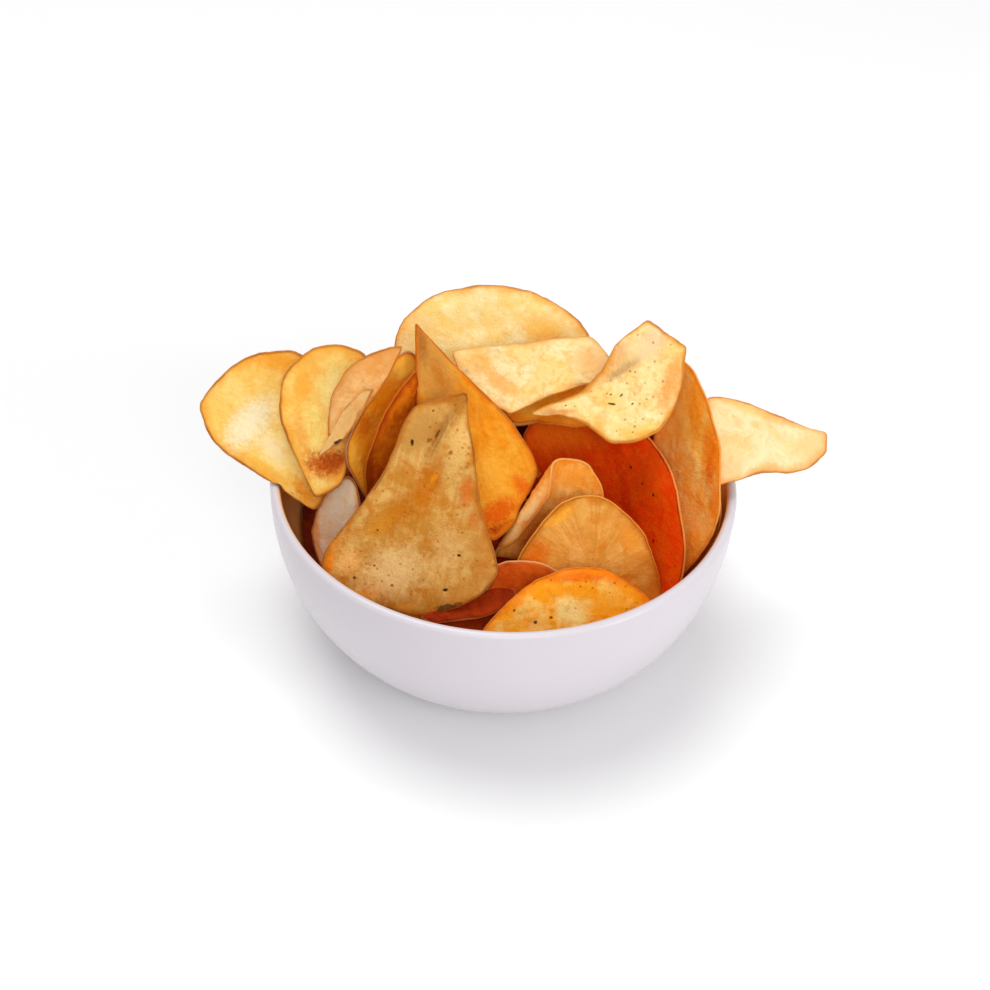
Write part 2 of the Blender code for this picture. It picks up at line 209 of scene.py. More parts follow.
class Crisp:
    """One thin slice: its outline, place, bends and surface relief."""

    def __init__(self, name, centre, facing, outline, bow=(0, 0, 0),
                 wave=(0.5, 3, 0), warp=0.6, blister=0.22, pleat=None,
                 curl=None, points=OUTLINE_POINTS, rings=RING_COUNT):
        self.name = name
        self.centre = np.array(centre, float)
        self.bow, self.wave, self.warp = bow, wave, warp
        self.blister, self.pleat, self.curl = blister, pleat, curl
        self.rings = rings
        self.seed = (sum(map(ord, name)) * 7.31) % 97.0
        turn, lift = (math.radians(angle) for angle in facing)
        self.normal = np.array([math.sin(turn) * math.cos(lift),
                                -math.cos(turn) * math.cos(lift),
                                math.sin(lift)])
        self.right = np.array([math.cos(turn), math.sin(turn), 0.0])
        self.up = np.cross(self.normal, self.right)
        self.edge = self.ragged(outline(points))

    def ragged(self, edge):
        """Outline with the small unevenness of a cut and fried edge."""
        reach = np.hypot(edge[:, 0], edge[:, 1])
        uneven = rough(edge, 0.16, self.seed, 3) * 0.35
        uneven += rough(edge, 0.7, self.seed + 5.0, 2) * 0.12
        return edge * (1.0 + uneven / reach)[:, None]

    def surface(self, flat, share):
        """Middle surface of the bent slice, in its own axes."""
        x, y = flat[:, 0], flat[:, 1]
        across, along, diagonal = self.bow
        lift = (across * (x / BOW_SPAN) ** 2 + along * (y / BOW_SPAN) ** 2
                + diagonal * x * y / BOW_SPAN ** 2)
        size, count, phase = self.wave
        angle = np.arctan2(y, x)
        lift += size * share ** 3 * np.sin(count * angle + math.radians(phase))
        lift += self.warp * rough(flat, 0.06, self.seed + 11.0, 2)
        if self.pleat:
            lift += self.pleat_height(x, y)
        if not self.curl:
            return np.column_stack([x, y, lift])
        turn, start, radius, sweep = self.curl
        dx, dy = math.cos(math.radians(turn)), math.sin(math.radians(turn))
        past = np.maximum(x * dx + y * dy - start, 0.0)
        sweep = math.radians(sweep)
        rolled = np.clip(past / radius, 0.0, sweep)
        straight = np.maximum(past - radius * sweep, 0.0)
        shift = radius * np.sin(rolled) + straight * math.cos(sweep) - past
        rise = radius * (1.0 - np.cos(rolled)) + straight * math.sin(sweep)
        leaned = -np.sin(rolled) * lift
        return np.column_stack([x + (shift + leaned) * dx,
                                y + (shift + leaned) * dy,
                                rise + np.cos(rolled) * lift])

    def pleat_height(self, x, y):
        """Ridge of a fold: a steep side, then a long gentle one."""
        turn, start, width, size, reach, first, full = self.pleat
        dx, dy = math.cos(math.radians(turn)), math.sin(math.radians(turn))
        across = x * dx + y * dy - start
        along = y * dx - x * dy

        def rise(value):
            value = np.clip(value, 0.0, 1.0)
            return value * value * (3.0 - 2.0 * value)
        return (size * rise(across / width)
                * (1.0 - 0.9 * rise((across - width) / reach))
                * rise((along - first) / (full - first)))

    def build(self):
        """Closed mesh of front, rounded edge and back, with its attributes."""
        count = len(self.edge)
        shares = 1.0 - (1.0 - np.linspace(0.0, 1.0, self.rings + 1)) ** 1.35
        flat = np.concatenate([np.zeros((1, 2))] + [self.edge * share for share in shares[1:]])
        ring_share = np.concatenate([[0.0]] + [np.full(count, share) for share in shares[1:]])
        reach = np.hypot(self.edge[:, 0], self.edge[:, 1])
        to_edge = np.concatenate([[reach.mean()]] + [reach * (1.0 - share) for share in shares[1:]])
        step = 0.4
        middle = self.surface(flat, ring_share)
        tilt = np.cross(self.surface(flat + [step, 0.0], ring_share) - middle,
                        self.surface(flat + [0.0, step], ring_share) - middle)
        tilt /= np.linalg.norm(tilt, axis=1)[:, None]
        half = np.interp(ring_share, [0.0, 0.8, 0.96, 1.0],
                         [THICKNESS / 2, THICKNESS / 2, EDGE_THICKNESS / 2,
                          EDGE_THICKNESS / 2 * 0.75])
        sides = []
        for side in (1.0, -1.0):
            bumps = rough(flat, 0.33, self.seed + 23.0 * side, 2)
            pits = rough(flat, 1.1, self.seed + 31.0 * side, 2)
            relief = (np.clip(bumps - 0.12, 0.0, 1.0) * 2.2 * self.blister
                      + pits * 0.05) * np.clip(to_edge / 2.0, 0.0, 1.0)
            sides.append(middle + tilt * (side * (half + relief))[:, None])
        lip_flat = self.edge * (1.0 + 0.28 / reach)[:, None]
        lip = self.surface(lip_flat, ring_share[-count:])
        local = np.concatenate([sides[0], lip, sides[1]])
        place = (self.centre + local[:, :1] * self.right
                 + local[:, 1:2] * self.up + local[:, 2:] * self.normal)
        place = keep_clear(place)
        front = len(flat)
        back = front + count
        faces = []
        for start, flip in ((0, False), (back, True)):
            for one in range(count):
                two = (one + 1) % count
                ring = start + 1
                face = (start, ring + one, ring + two)
                faces.append(face[::-1] if flip else face)
                for _ in range(self.rings - 1):
                    face = (ring + one, ring + count + one, ring + count + two, ring + two)
                    faces.append(face[::-1] if flip else face)
                    ring += count
        outer_front = front - count
        outer_back = back + front - count
        for one in range(count):
            two = (one + 1) % count
            faces.append((outer_front + one, front + one, front + two, outer_front + two))
            faces.append((front + one, outer_back + one, outer_back + two, front + two))
        both = np.concatenate([flat, lip_flat, flat])
        side = np.concatenate([np.full(front, 3.0), np.zeros(count), np.full(front, -3.0)])
        attributes = {
            "slice": np.column_stack([both, side + self.seed]),
            "to_edge": np.concatenate([to_edge, np.full(count, -0.25), to_edge]),
        }
        return mesh_object(self.name, place, faces, attributes)


# Materials

class Nodes:
    """Short calls for building one material's node tree."""

    def __init__(self, name):
        self.material = bpy.data.materials.new(name)
        self.material.use_nodes = True
        self.tree = self.material.node_tree
        self.shader = self.tree.nodes["Principled BSDF"]

    def link(self, source, target):
        if hasattr(source, "default_value") or hasattr(source, "is_linked"):
            self.tree.links.new(source, target)
        else:
            target.default_value = source

    def node(self, kind, values=(), output=0, **settings):
        made = self.tree.nodes.new(kind)
        for key, value in settings.items():
            setattr(made, key, value)
        for key, value in dict(values).items():
            self.link(value, made.inputs[key])
        return made.outputs[output]

    def attribute(self, name, output):
        return self.node("ShaderNodeAttribute", output=output, attribute_name=name)

    def math(self, operation, first, second=0.0):
        return self.node("ShaderNodeMath", {0: first, 1: second}, operation=operation)

    def times(self, first, second):
        return self.math("MULTIPLY", first, second)

    def object_place(self):
        return self.node("ShaderNodeTexCoord", output=3)

    def bump(self, height, strength, distance):
        return self.node("ShaderNodeBump", {"Strength": strength, "Distance": distance,
                                            "Height": height})

    def dots(self, vector, scale, share, low, high):
        """Round dots in the middle of a share of random cells."""
        distance = self.node("ShaderNodeTexVoronoi", {"Vector": vector, "Scale": scale})
        pick = self.node("ShaderNodeSeparateColor", {0: distance.node.outputs["Color"]})
        return self.times(self.ramp(distance, low, high), self.math("LESS_THAN", pick, share))

    def ramp(self, value, low, high, to_low=0.0, to_high=1.0):
        """Smooth step of a value from low to high."""
        return self.node("ShaderNodeMapRange",
                         {"Value": value, "From Min": low, "From Max": high,
                          "To Min": to_low, "To Max": to_high},
                         interpolation_type="SMOOTHSTEP")

    def noise(self, vector, scale, detail=3.0, roughness=0.55, distortion=0.0):
        return self.node("ShaderNodeTexNoise",
                         {"Vector": vector, "Scale": scale, "Detail": detail,
                          "Roughness": roughness, "Distortion": distortion})

    def mix(self, factor, first, second, blend="MIX"):
        made = self.tree.nodes.new("ShaderNodeMix")
        made.data_type = "RGBA"
        made.blend_type = blend
        self.link(factor, made.inputs[0])
        self.link(first, made.inputs[6])
        self.link(second, made.inputs[7])
        return made.outputs[2]

    def set(self, **values):
        for key, value in values.items():
            self.link(value, self.shader.inputs[key.replace("_", " ")])


def crisp_material(name, pale, warm, edge, skin=(150, 70, 12), cloud=0.09,
                   rim=(214, 126, 44), warm_share=0.5, mottle=0.45,
                   mottle_colour=(244, 146, 12), fibre=0.25, grain=None,
                   season=0.0, flecks=0.0, edge_width=5.0,
                   patches=(), spots=(), glow=0.1, gain=1.0, line=(0.15, 0.7),
                   toast=0.5):
    """Fried slice: clouded flesh, browned edge, fibres, seasoning, spots, and patches, some of which
    are painted shade or painted light.
    """
    nodes = Nodes(name)
    pale, warm, edge = (srgb(*tint, gain) for tint in (pale, warm, edge))
    skin, rim = srgb(*skin), srgb(*rim, gain)
    mottle_colour = srgb(*mottle_colour, gain)
    place = nodes.attribute("slice", AS_VECTOR)
    to_edge = nodes.attribute("to_edge", AS_VALUE)
    axes = nodes.tree.nodes.new("ShaderNodeSeparateXYZ")
    nodes.link(place, axes.inputs[0])
    x, y = axes.outputs[0], axes.outputs[1]

    broad = nodes.noise(place, cloud, 3.0, 0.6, 0.6)
    centre = 0.5 + (0.5 - warm_share) * 0.35
    colour = nodes.mix(nodes.ramp(broad, centre - 0.12, centre + 0.12), pale, warm)

    blotch = nodes.noise(place, 0.26, 4.0, 0.62, 0.8)
    colour = nodes.mix(nodes.ramp(blotch, 0.5, 0.6, 0.0, mottle), colour, mottle_colour)
    fine = nodes.noise(place, 0.75, 5.0, 0.7, 0.5)
    grainy = nodes.ramp(nodes.noise(place, 1.3, 4.0, 0.75), 0.36, 0.6, 0.75)
    colour = nodes.mix(nodes.ramp(fine, 0.52, 0.66, 0.0, mottle * 0.8), colour, mottle_colour)
    colour = nodes.mix(nodes.ramp(fine, 0.45, 0.28, 0.0, 0.25), colour, pale)

    uneven = nodes.noise(place, 0.30, 5.0, 0.65, 0.6)
    colour = nodes.mix(nodes.ramp(uneven, 0.42, 0.66, 0.0, toast), colour,
                       (0.95, 0.78, 0.52, 1.0), "MULTIPLY")

    angle = nodes.math("ARCTAN2", y, x)
    reach = nodes.node("ShaderNodeVectorMath", {0: place}, output=1, operation="LENGTH")
    polar = nodes.node("ShaderNodeCombineXYZ",
                       {0: nodes.math("COSINE", angle), 1: nodes.math("SINE", angle),
                        2: nodes.times(reach, 0.012)})
    strands = nodes.noise(polar, 9.0, 4.0, 0.7)
    colour = nodes.mix(nodes.ramp(strands, 0.42, 0.68, 0.0, fibre), colour, nodes.mix(0.6, warm, edge))
    if grain:
        turn, strength = grain
        threads = nodes.noise(
            nodes.node("ShaderNodeMapping",
                       {"Vector": place, "Scale": (10.0, 1.0, 1.0),
                        "Rotation": (0.0, 0.0, math.radians(turn))},
                       vector_type="TEXTURE"),
            0.7, 4.0, 0.65)
        colour = nodes.mix(nodes.ramp(threads, 0.44, 0.66, 0.0, strength), colour, edge)

    for *ellipse, tint, strength in patches:
        cover = nodes.times(patch(nodes, x, y, *ellipse, fine), strength)
        colour = nodes.mix(nodes.times(grainy, cover), colour, srgb(*tint, gain))

    wobble = nodes.times(nodes.noise(place, 0.16, 3.0), 7.0)
    border = nodes.math("ADD", to_edge, nodes.math("SUBTRACT", wobble, 3.5))
    colour = nodes.mix(nodes.ramp(border, edge_width, -0.5, 0.0, 0.9), colour, edge)

    if season:
        colour = seasoned(nodes, place, colour, season, gain)
    if flecks:
        colour = flecked(nodes, place, colour, flecks)
    for *ellipse, tint, strength in spots:
        cover = nodes.times(patch(nodes, x, y, *ellipse, fine, 0.8, 1.2), strength)
        colour = nodes.mix(cover, colour, srgb(*tint))

    broken = nodes.noise(place, 0.12, 2.0)
    skin_line = nodes.times(nodes.ramp(to_edge, 1.0, 0.1), nodes.ramp(broken, 0.4, 0.62, *line))
    colour = nodes.mix(skin_line, colour, skin)
    colour = nodes.mix(nodes.ramp(to_edge, 0.2, 0.0, 0.0, 0.85), colour, rim)

    pores = nodes.noise(place, 1.5, 5.0, 0.7)
    bubbles = nodes.node("ShaderNodeTexVoronoi", {"Vector": place, "Scale": 0.55}, feature="SMOOTH_F1")
    relief = nodes.math("ADD", pores, nodes.times(bubbles, -0.5))
    relief = nodes.math("ADD", relief, nodes.times(strands, 0.35))
    nodes.set(Base_Color=colour, Normal=nodes.bump(relief, 0.6, 0.0008),
              Roughness=nodes.ramp(fine, 0.3, 0.7, 0.6, 0.38),
              Specular_IOR_Level=0.06, Subsurface_Weight=glow,
              Subsurface_Radius=(0.0014, 0.0009, 0.0005),
              Subsurface_Scale=1.0)
    return nodes.material


def seasoned(nodes, place, colour, season, gain):
    """Colour dusted with seasoning in places, with a few coarser grains."""
    area = nodes.ramp(nodes.noise(place, 0.11, 3.0, 0.6, 0.5),
                      0.66 - season * 0.22, 0.74 - season * 0.14)
    dust = nodes.ramp(nodes.noise(place, 1.0, 4.0, 0.75), 0.46, 0.66)
    colour = nodes.mix(nodes.times(area, nodes.times(dust, 0.8)), colour, srgb(206, 104, 8, gain))
    grit = nodes.dots(place, 0.6, 0.2, 0.3, 0.12)
    return nodes.mix(nodes.times(grit, 0.6), colour, srgb(164, 78, 12))


def flecked(nodes, place, colour, share):
    """Colour with small dark flecks in a share of its cells."""
    dark = nodes.dots(place, 0.24, share, 0.11, 0.05)
    return nodes.mix(nodes.times(dark, 0.85), colour, srgb(84, 34, 8))


def patch(nodes, x, y, px, py, long, wide, turn, uneven, low=0.3, high=1.2):
    """Soft ragged ellipse on the slice, 1 inside and 0 outside."""
    c, s = math.cos(math.radians(turn)), math.sin(math.radians(turn))
    dx = nodes.math("SUBTRACT", x, px)
    dy = nodes.math("SUBTRACT", y, py)
    along = nodes.math("ADD", nodes.times(dx, c / long), nodes.times(dy, s / long))
    across = nodes.math("ADD", nodes.times(dx, -s / wide), nodes.times(dy, c / wide))
    away = nodes.math("SQRT", nodes.math("ADD", nodes.times(along, along), nodes.times(across, across)))
    ragged = nodes.times(nodes.math("SUBTRACT", uneven, 0.5), 1.6)
    return nodes.ramp(nodes.math("ADD", away, ragged), high, low)


def glaze_material():
    """White glazed ceramic, with orange light bounced from the crisps painted on its inner wall."""
    nodes = Nodes("white_glaze")
    place = nodes.object_place()
    cloudy = nodes.noise(place, 30.0, 2.0)
    colour = nodes.mix(cloudy, srgb(205, 199, 205), srgb(208, 202, 208))
    # The inside attribute carries the share of painted bounce light
    inside = nodes.attribute("inside", AS_VALUE)
    bounce_patchiness = nodes.noise(place, 45.0, 4.0, 0.6)
    painted_bounce = nodes.mix(nodes.ramp(bounce_patchiness, 0.35, 0.65), srgb(252, 182, 96), srgb(246, 158, 60))
    cover = nodes.times(inside, nodes.ramp(bounce_patchiness, 0.25, 0.6, 0.85, 1.0))
    colour = nodes.mix(cover, colour, painted_bounce)
    fine_dents = nodes.noise(place, 900.0, 2.0)
    nodes.set(Base_Color=colour, Normal=nodes.bump(fine_dents, 0.04, 0.0002),
              Roughness=0.26, Specular_IOR_Level=0.4)
    return nodes.material


def floor_material():
    nodes = Nodes("studio_floor")
    place = nodes.object_place()
    cloudy = nodes.noise(place, 3.0, 2.0)
    nodes.set(Base_Color=nodes.mix(cloudy, (0.89, 0.89, 0.89, 1.0),
                                   (0.91, 0.91, 0.91, 1.0)),
              Roughness=0.9, Specular_IOR_Level=0.1)
    return nodes.material


def core_material():
    """Dark filler deep between the crisps, its colour painted deep shade."""
    nodes = Nodes("shaded_heap_core")
    place = nodes.object_place()
    lumps = nodes.noise(place, 260.0, 4.0, 0.7)
    colour = nodes.mix(nodes.ramp(lumps, 0.35, 0.65), srgb(112, 28, 3), srgb(160, 56, 5))
    nodes.set(Base_Color=colour, Normal=nodes.bump(lumps, 0.8, 0.001), Roughness=0.6)
    return nodes.material


# The crisps: name, centre, facing (turn from the front, lift above the
# horizon, degrees), outline and bends, all in millimetres
def shown_crisps():
    return (
        Crisp("left_outer", (-73, 0.5, 74.3), (-12, 38), corners(
            (21.8, -20.5, 0.3), (23.9, -12.2, 0.3), (17.4, 4.6, 0.3), (12.5, 21.1, 0.3),
            (5.9, 23.2, 0.4), (-4.8, 20.2, 0.6), (-13.4, 13.3, 0.5), (-19, 2.8, 0.2),
            (-15.8, -3.3, 0.5), (-10.2, -9.1, 0.3), (2, -14.1, 0), (13.3, -19, 0), (20.5, -22, 0.2),
            rounding=2), bow=(2, -1, 2), wave=(0.5, 4, 30), warp=0.4),
        Crisp("left_middle", (-53, -4.1, 81.3), (-12, 36), corners(
            (0.8, -23, 0.5), (8.4, -17.4, 0.3), (8.5, 0, 0.3), (9.5, 19.9, 0.5), (1.5, 21.7, 0.6),
            (-7.7, 18.9, 0.6), (-14.1, 10.1, 0.6), (-13.2, -1.1, 0.3), (-7.5, -11.4, 0), rounding=2),
            bow=(2, -1, 0), wave=(0.4, 4, 80), warp=0.4),
        Crisp("left_inner", (-40, -6.4, 91.6), (-18, 34), corners(
            (6.9, 16.2, 0.2), (2.3, 14.6, 0.2), (-5.2, 9.7, 0.4), (-9.9, 0.9, 0.4), (-10.6, -5, 0.2),
            (-9.4, -13.6, 0), (-4.5, -11.5, 0), (1.4, -0.6, 0.2), (5.2, 9, 0), rounding=2),
            bow=(2, -1, 0), wave=(0.2, 3, 0), warp=0.3),
        Crisp("pale_leaf", (-43, -10.2, 90.5), (-40, 26), corners(
            (3.7, 7.6, 0), (0.8, 6.1, 0), (-3.3, -1.5, 0.2), (-5.9, -11, 0), (-7.2, -18.9, 0),
            (-3.2, -13.5, 0.2), (-1, -10.6, 0), (0.9, -5.9, 0), (2.6, 0, 0), rounding=1), bow=(1, 0, 0),
            wave=(0, 3, 0), warp=0.1, blister=0.1),
        Crisp("long_leaf", (-42, -10, 78), (38, 8), corners(
            (18.1, 23.8, 0.2), (11.4, 21.3, 0), (2.9, 10, 0), (-4.7, 2.4, 0.4), (-5, -6.3, 0.4),
            (0, -20, 0.2), (2.4, -7.3, 0.3), (6.6, 3, 0.2), (15, 11.2, 0), (21.4, 18.4, 0.8),
            rounding=1), bow=(2, 0, 0), wave=(0.4, 3, 0)),
        Crisp("dark_leaf", (-31, -7.4, 77.2), (42, -2), corners(
            (5.5, 23.2, 0), (-0.3, 18.3, 0.2), (-8, 9.8, 0.3), (-11.9, -1.5, 0.3), (-11.8, -16.5, 0),
            (-7, -26, 1), (5, -4, 1), (6.6, 12, 0.3), rounding=1), bow=(2, 0, 0), wave=(0.4, 3, 0)),
        Crisp("low_left", (-46, -18, 50), (-20, 18), corners(
            (-1.5, 17.3, 0.3), (-5.2, 14.6, 0.3), (-8.6, 9, 0.4), (-10.8, -1, 0.6), (-10.4, -7.8, 0.4),
            (-5.6, -14.6, 0.6), (0.5, -17.9, 0.5), (8, -10.6, 0.5), (6.4, 1, 0), (3.4, 9.6, 0),
            (1.4, 14.6, 0.3), rounding=2), bow=(-3, -1, 0), wave=(0.3, 3, 0)),
        Crisp("front_large", (-23, -30, 67), (-4, 32), corners(
            (10, 36.5, 0), (2.3, 34.6, 0.3), (-4.5, 31.6, 0.5), (-8, 24, 0), (-11.5, 12.9, -0.3),
            (-20.5, -2.4, 0.2), (-27, -12, 0.6), (-27.5, -18.5, 0.6), (-17.7, -25.3, 0.5),
            (2.9, -28.9, 0.6), (18.3, -21, 0.5), (22.9, -14, 0.5), (17.5, 1.2, -0.3),
            (13.3, 20.8, -0.2), rounding=1), bow=(-2, -3, 0), wave=(0.5, 5, 0),
            pleat=(-29.0, -8.6, 1.6, 4.2, 22.0, 8.0, 26.0)),
        Crisp("peak", (-9, -8, 79), (14, 30), corners(
            (-14.6, 36, 0), (-16, 10.5, 2), (-12, -19.5, 2), (3, -30, 1.5), (11.8, -20.5, 0.6),
            (18.4, -11, 0.8), (9.6, 6.4, 0), (-5.5, 24.1, 0), (-12.5, 33, 0), rounding=1),
            bow=(-2, 2, 0), wave=(0.4, 5, 60)),
        Crisp("back_tall", (-4, 23, 87), (4, 36), oval(61, 42, 173),
              bow=(-2, -2, 0), wave=(0.7, 5, 20), warp=0.9),
        Crisp("shelf", (11, 11, 89), (-6, 56), corners(
            (-28.4, 5, 0.5), (-21.8, -6.3, 0.3), (-9, -12.8, 0.2), (-0.6, -6.9, 0), (9.9, -1.5, 0),
            (17.5, 0, 0.3), (19, 6.5, 0.3), (11.5, 14.3, 0.2), (0.6, 11.5, 0), (-16.6, 7.6, 0.3),
            rounding=1), bow=(-2, 0, 0), wave=(0.6, 5, 0), warp=0.9, blister=0.5),
        Crisp("shelf_lower", (17, 12, 78), (-10, 50), corners(
            (11.5, 8, 0), (4.5, 7.5, 0), (-8, 3, 1), (-18, -4.5, 0), (-14, -7.5, 0), (-8, -6, 1),
            (11.5, -4, 1)), bow=(-2, 0, 0)),
        Crisp("saddle", (34, 4, 88.5), (-14, 52), corners(
            (1.9, 22.9, 0), (-2.1, 18.2, -0.2), (-5.6, 13, -0.1), (-7.6, 5, 0.2), (-11.9, -1.4, 0),
            (-21.6, -8.7, 0), (-25.3, -11.9, 0.1), (-17.1, -9.4, -0.2), (-8.2, -11.2, 0.2),
            (-0.4, -14.5, 0.3), (7.6, -12.5, 0.5), (13.7, -5.7, 0.4), (15.6, 7, 0.2), (14.7, 17.6, 0),
            (5.8, 21.3, 0), rounding=1), bow=(0, 4, 2), wave=(0.5, 5, 0), blister=0.35,
            pleat=(135, 6.4, 4.0, 4.0, 26, -14, -7)),
        Crisp("deep_orange", (31, 1, 53), (-38, 18), oval(70, 51, 149, -0.11),
              bow=(6, 0, 0), wave=(0.6, 5, 0)),
        Crisp("right_upright", (53, -2, 65), (-50, 20), corners(
            (9.1, -32.3, 0), (14.4, -26.6, 0.3), (18.2, -16, 0.4), (18.6, -6.1, 0.3), (15.8, 2.7, 0.4),
            (10.6, 11.6, 0.3), (4.6, 19.3, 0.4), (-2.6, 25.5, 0.3), (-9.4, 29.6, 0.3),
            (-14.5, 30.4, 0.5), (-16.1, 21.4, 0), (-13.4, 3.9, 0), (-2.8, -18.2, 0), rounding=1),
            bow=(3, 0, 0), wave=(0.5, 5, 0)),
        Crisp("right_behind", (55, 3, 58), (-52, 16), corners(
            (7, -28.2, 0.3), (13.3, -25.4, 0.3), (16.6, -17.8, 0.3), (18.3, -9.7, 0.3),
            (17.5, -1.6, 0.3), (12, 9.5, 0), (0.5, 20, 0.3), (-5.2, 24, 0.3), (-10.7, 21, 0),
            (-8.7, 5.9, 0), (-1.2, -15, 0), rounding=2), bow=(3, 0, 0)),
        Crisp("right_outer", (77, 3, 75), (10, 50), corners(
            (18.9, 1.4, 0.1), (14.2, 2.7, 0), (7.9, 5.6, 0.2), (-2.4, 10.9, 0.3), (-10, 13.6, 0.2),
            (-15.6, 14.4, 0.5), (-19, 4.5, 1), (-19.5, -10.5, 1), (-13.9, -11.9, 0),
            (-7.8, -10.9, -0.2), (-1.1, -9.3, 0), (4.6, -10, 0.3), (12, -9, 0.4), (16.9, -5.7, 0.2),
            (19, -3.7, 0.2), rounding=2), bow=(-2, -1, 0), wave=(0.5, 4, 0)),
        Crisp("curled", (18, -14, 57), (6, 22), corners(
            (12, 4, 0.5), (8.5, 14, 0.8), (2, 17.2, 0.4), (-5, 16.8, 0.2), (-13, 12.6, 0.2),
            (-21.9, -2.6, 0.2), (-20.5, -12, 0.3), (-8, -14, 1), (6, -14, 2)), bow=(2, 0, 0),
            wave=(0.3, 3, 0), warp=0.3, curl=(147.0, 9.8, 2.0, 165.0)),
        Crisp("front_right", (27, -29, 49), (10, 32), corners(
            (21, -8, 0.3), (16.4, 9.2, 1.2), (3.4, 21.6, 1.2), (-8.5, 20, 0.6), (-19.3, 7.8, 0.3),
            (-22.5, 1, 0.3), (-12, -16, 1.5), (8, -22, 2.5), (19, -15, 1)), bow=(-4, -2, 0),
            wave=(0.6, 6, 20)),
        Crisp("front_low", (19, -46, 42.5), (6, 44), corners(
            (25.5, 6.8, 0.2), (20.1, 11.7, 0.2), (11.2, 16.3, 0.4), (0.1, 16.2, 0.3),
            (-10.9, 11.1, 0.2), (-19.9, 3.2, 0.1), (-23.5, -1.5, 0.5), (-12, -12, 1.5), (10, -13, 2),
            (24, -4, 1), rounding=2), bow=(-3, -2, 0), wave=(0.6, 5, 70), blister=0.4),
        Crisp("under_middle", (11, -37.6, 41.8), (4, 32), corners(
            (-3.2, -3, 0.5), (8, 0, 0.3), (11.4, 6.3, 0.2), (6.1, 10.5, 0.2), (0.6, 13, 0.2),
            (-8, 13.4, 0.2), (-13.6, 11.5, 0.3), (-14, 2, 0.3), rounding=2), bow=(-2, 0, 0),
            wave=(0.2, 3, 0), warp=0.3),
        Crisp("under_front", (-9, -42, 43), (-6, 66), corners(
            (-12.6, -3.2, 0.2), (-9.1, -5, 0), (0.4, -2.6, 0.3), (7.2, -0.2, 0.2), (13.4, 5, 0.3),
            (12.5, 8.2, 0.5), (7, 7.9, 0), (0.5, 3.6, 0), (-6.4, 0.7, 0), rounding=2), bow=(-1, -1, 0),
            wave=(0.2, 3, 0), warp=0.3),
        Crisp("under_peak", (1, -16, 46), (-20, 30), corners(
            (4.5, 15.5, 1), (-7.5, 5.5, 2), (-5, -16, 2), (10, -8, 2), (11.5, 6.5, 1)), bow=(2, 0, 0)),
        Crisp("under_left", (-49, -5, 58), (-24, 32), corners(
            (3, 7.5, 1), (-5.5, 3.5, 1), (-6.5, -6, 1), (-1.5, -9, 1), (4.5, -3.5, 1)),
            wave=(0.3, 3, 0)),
    )


def far_crisps():
    """Crisps at the side, at the back and deep in the bowl, more simply cut."""
    crisps = (
        ("deep_front", (0, -46, 36.5), (4, 70), oval(38, 25), (-2, -1, 0)),
        ("deep_front_left", (-27, -38, 36.5), (-30, 72), oval(32, 26, 40), (-2, 1, 0)),
        ("deep_middle", (-8, 7, 56), (170, 72), oval(38, 30, 10), (2, -2, 0)),
        ("back_left", (-40, 31, 59), (214, 36), oval(48, 40, 20, 0.05), (-3, -2, 0)),
        ("back_middle", (-12, 46, 60), (188, 44), oval(54, 42, 12), (3, -2, 0)),
        ("back_right", (19, 42, 63), (166, 56), oval(50, 42, -20, 0.08), (-4, -2, 0)),
        ("back_side_right", (41, 31, 55), (140, 38), oval(40, 34, 40), (-3, -2, 0)),
        ("back_edge", (4, 57.5, 54), (176, 30), oval(42, 24, 4), (-3, 0, 0)),
        ("back_edge_left", (-33, 43, 56), (216, 20), oval(36, 26, -8), (-2, 0, 0)),
        ("back_side_left", (-54, 14, 60), (245, 36), oval(32, 28), (-2, -1, 0)),
        ("side_right", (55, 12, 57), (112, 40), oval(28, 26), (-2, -2, 0)),
        ("back_upper", (3, 40, 76), (178, 55), oval(46, 34, 0, 0.06), (-2, -2, 0)),
        ("wedge_right", (41, 16, 72), (72, 4), oval(40, 24, 100), (-1, 0, 0)),
        ("back_upper_left", (-28, 25, 75), (212, 55), oval(38, 32, 30), (-3, 0, 0)),
        ("back_upper_right", (34, 28, 70), (140, 58), oval(40, 32, -20, 0.05), (2, -2, 0)),
    )
    return tuple(Crisp(*crisp, points=FAR_POINTS, rings=FAR_RINGS) for crisp in crisps)
